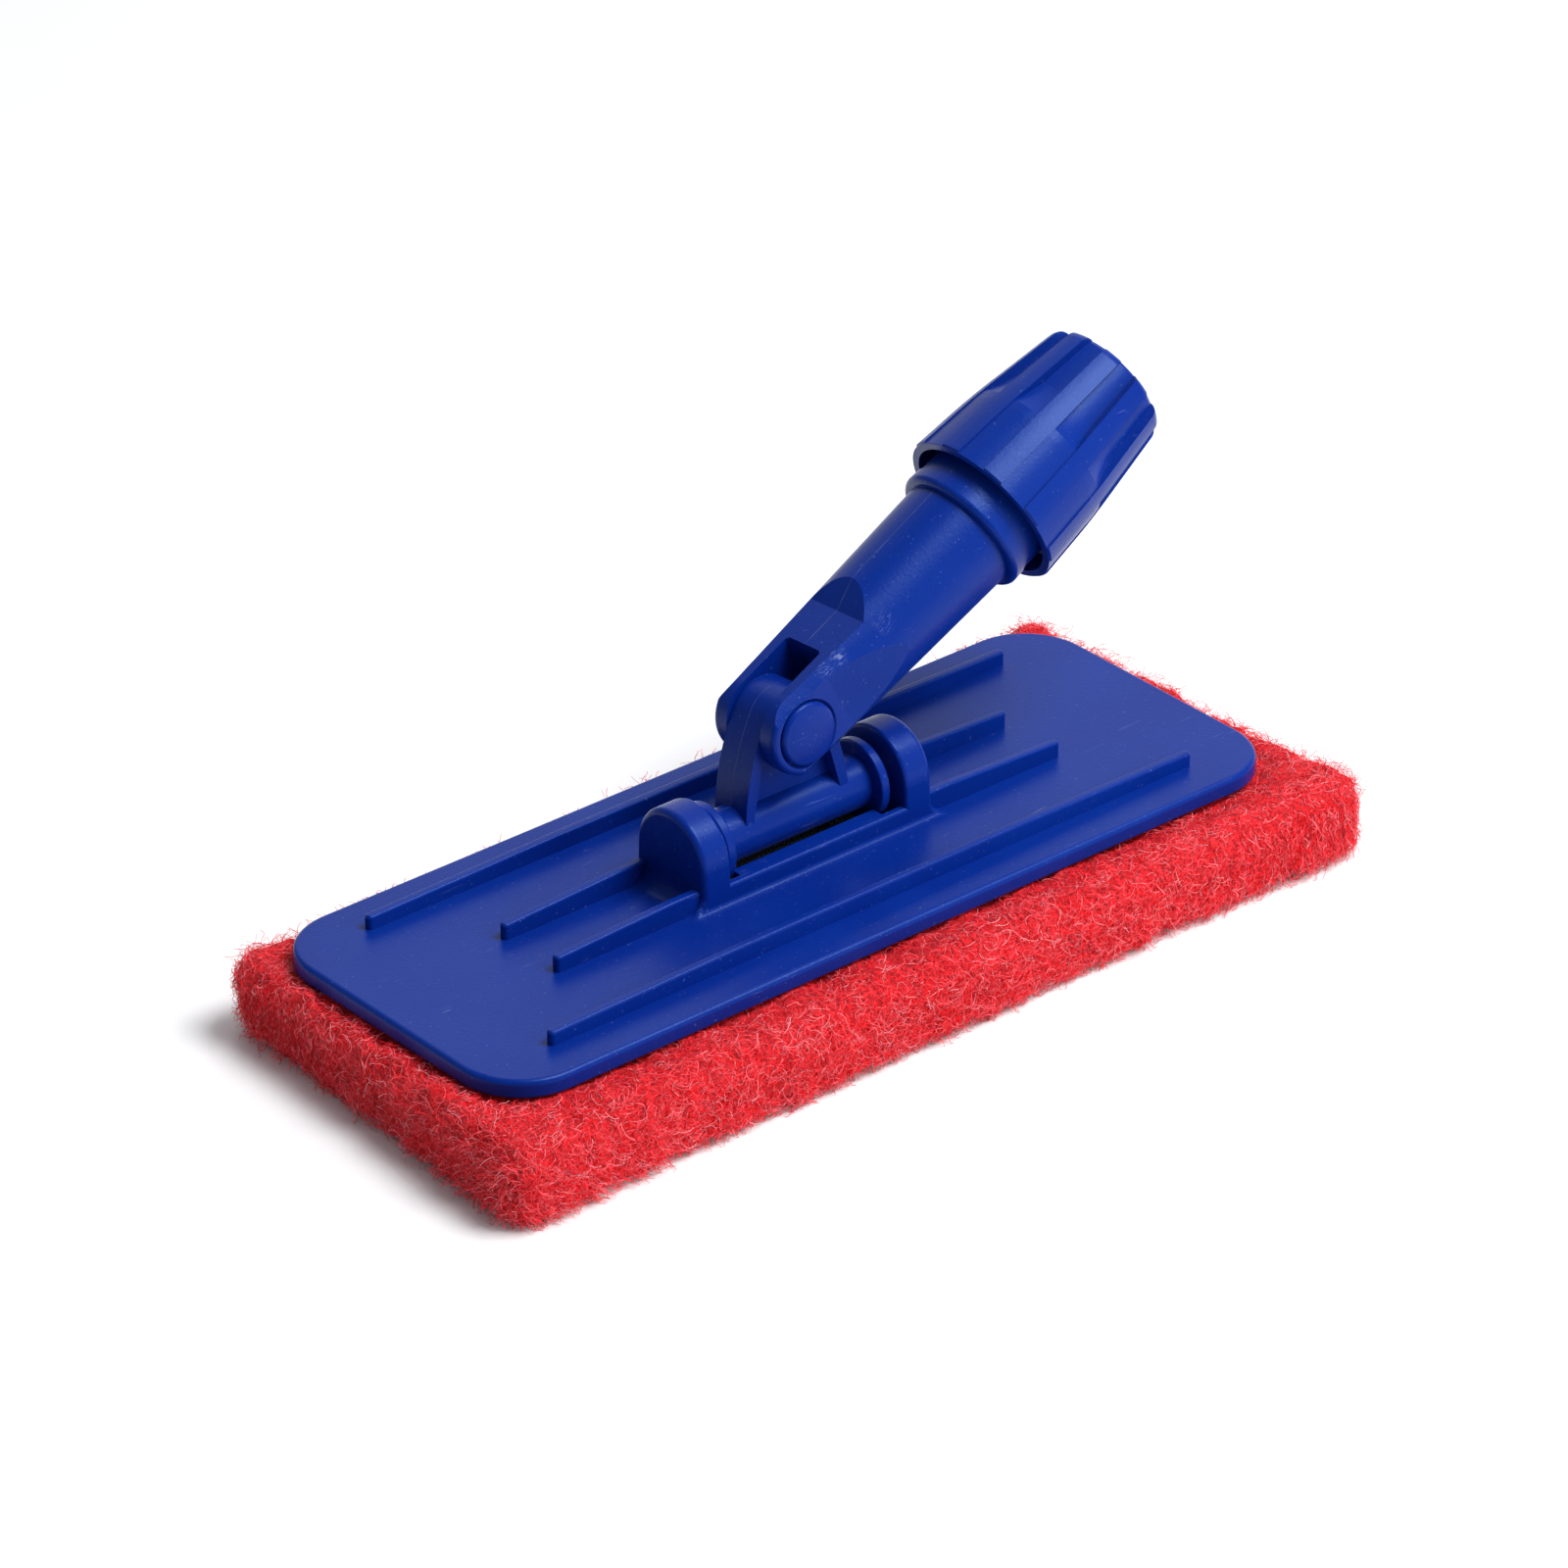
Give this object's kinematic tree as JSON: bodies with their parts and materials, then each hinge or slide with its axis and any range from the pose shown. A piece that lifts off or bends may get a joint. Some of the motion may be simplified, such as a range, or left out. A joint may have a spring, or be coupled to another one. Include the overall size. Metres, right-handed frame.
{
  "type": "swivel scouring pad holder",
  "caption": "Long flat holder with a fibrous scouring pad underneath, a two-way swivelling yoke and a forked tubular socket with a clamping ring nut for a pole.",
  "frame": {"origin": "middle of the pad's scrubbing face, straight under the middle of the backing plate", "axes": "+X along the plate towards the side the pole leans to, +Y to the back, +Z from the scrubbed surface towards the pole; at rest the yoke leans 4 degrees to the back and the pole socket points 26 degrees above the plate"},
  "size_m": [0.2576, 0.1119, 0.123],
  "materials": {
    "blue_plastic": "satin moulded plastic with a fine speckled grain, slightly scuffed",
    "red_fibre": "open non-woven abrasive fibre, frayed at the edges",
    "hook_tape": "dark hook tape with rows of small hooks",
    "axle_steel": "drawn steel rod",
    "screw_steel": "plated self-tapping screws",
    "collet_plastic": "pale tough plastic"
  },
  "bodies": {
    "plate": {"backing_plate": "blue_plastic", "scrub_pad": "red_fibre", "hook_strip_front": "hook_tape", "hook_strip_centre": "hook_tape", "hook_strip_rear": "hook_tape", "cross_axle": "axle_steel", "axle_keeper_left": "blue_plastic", "axle_keeper_right": "blue_plastic", "keeper_screws": "screw_steel"},
    "yoke": {"swivel_yoke": "blue_plastic"},
    "handle": {"fork_socket": "blue_plastic", "pivot_pin_front": "blue_plastic", "pivot_pin_rear": "blue_plastic", "thread_sleeve": "blue_plastic"},
    "collet": {"clamp_collet": "collet_plastic"},
    "nut": {"clamp_nut": "blue_plastic"}
  },
  "joints": [
    {"name": "yoke_tilt", "type": "hinge", "parent": "plate", "child": "yoke", "pos_m": [-0.0009, 0, 0.034], "axis": [1, 0, 0], "range_deg": [-64, 72]},
    {"name": "handle_tilt", "type": "hinge", "parent": "yoke", "child": "handle", "pos_m": [-0.0009, 0.00163, 0.05734], "axis": [0, -0.9976, 0.0698], "range_deg": [-11.3, 138.7]},
    {"name": "collet_slide", "type": "slide", "parent": "handle", "child": "collet", "axis": [0.8965, 0.0309, 0.442], "range_m": [-0.0015, 0.0045]},
    {"name": "nut_turn", "type": "hinge", "parent": "collet", "child": "nut", "pos_m": [-0.0009, 0.00163, 0.05734], "axis": [0.8965, 0.0309, 0.442], "range_deg": [-180, 540]}
  ],
  "couplings": [
    {"joint": "collet_slide", "follows": "nut_turn", "m_per_rad": 0.00047746}
  ]
}
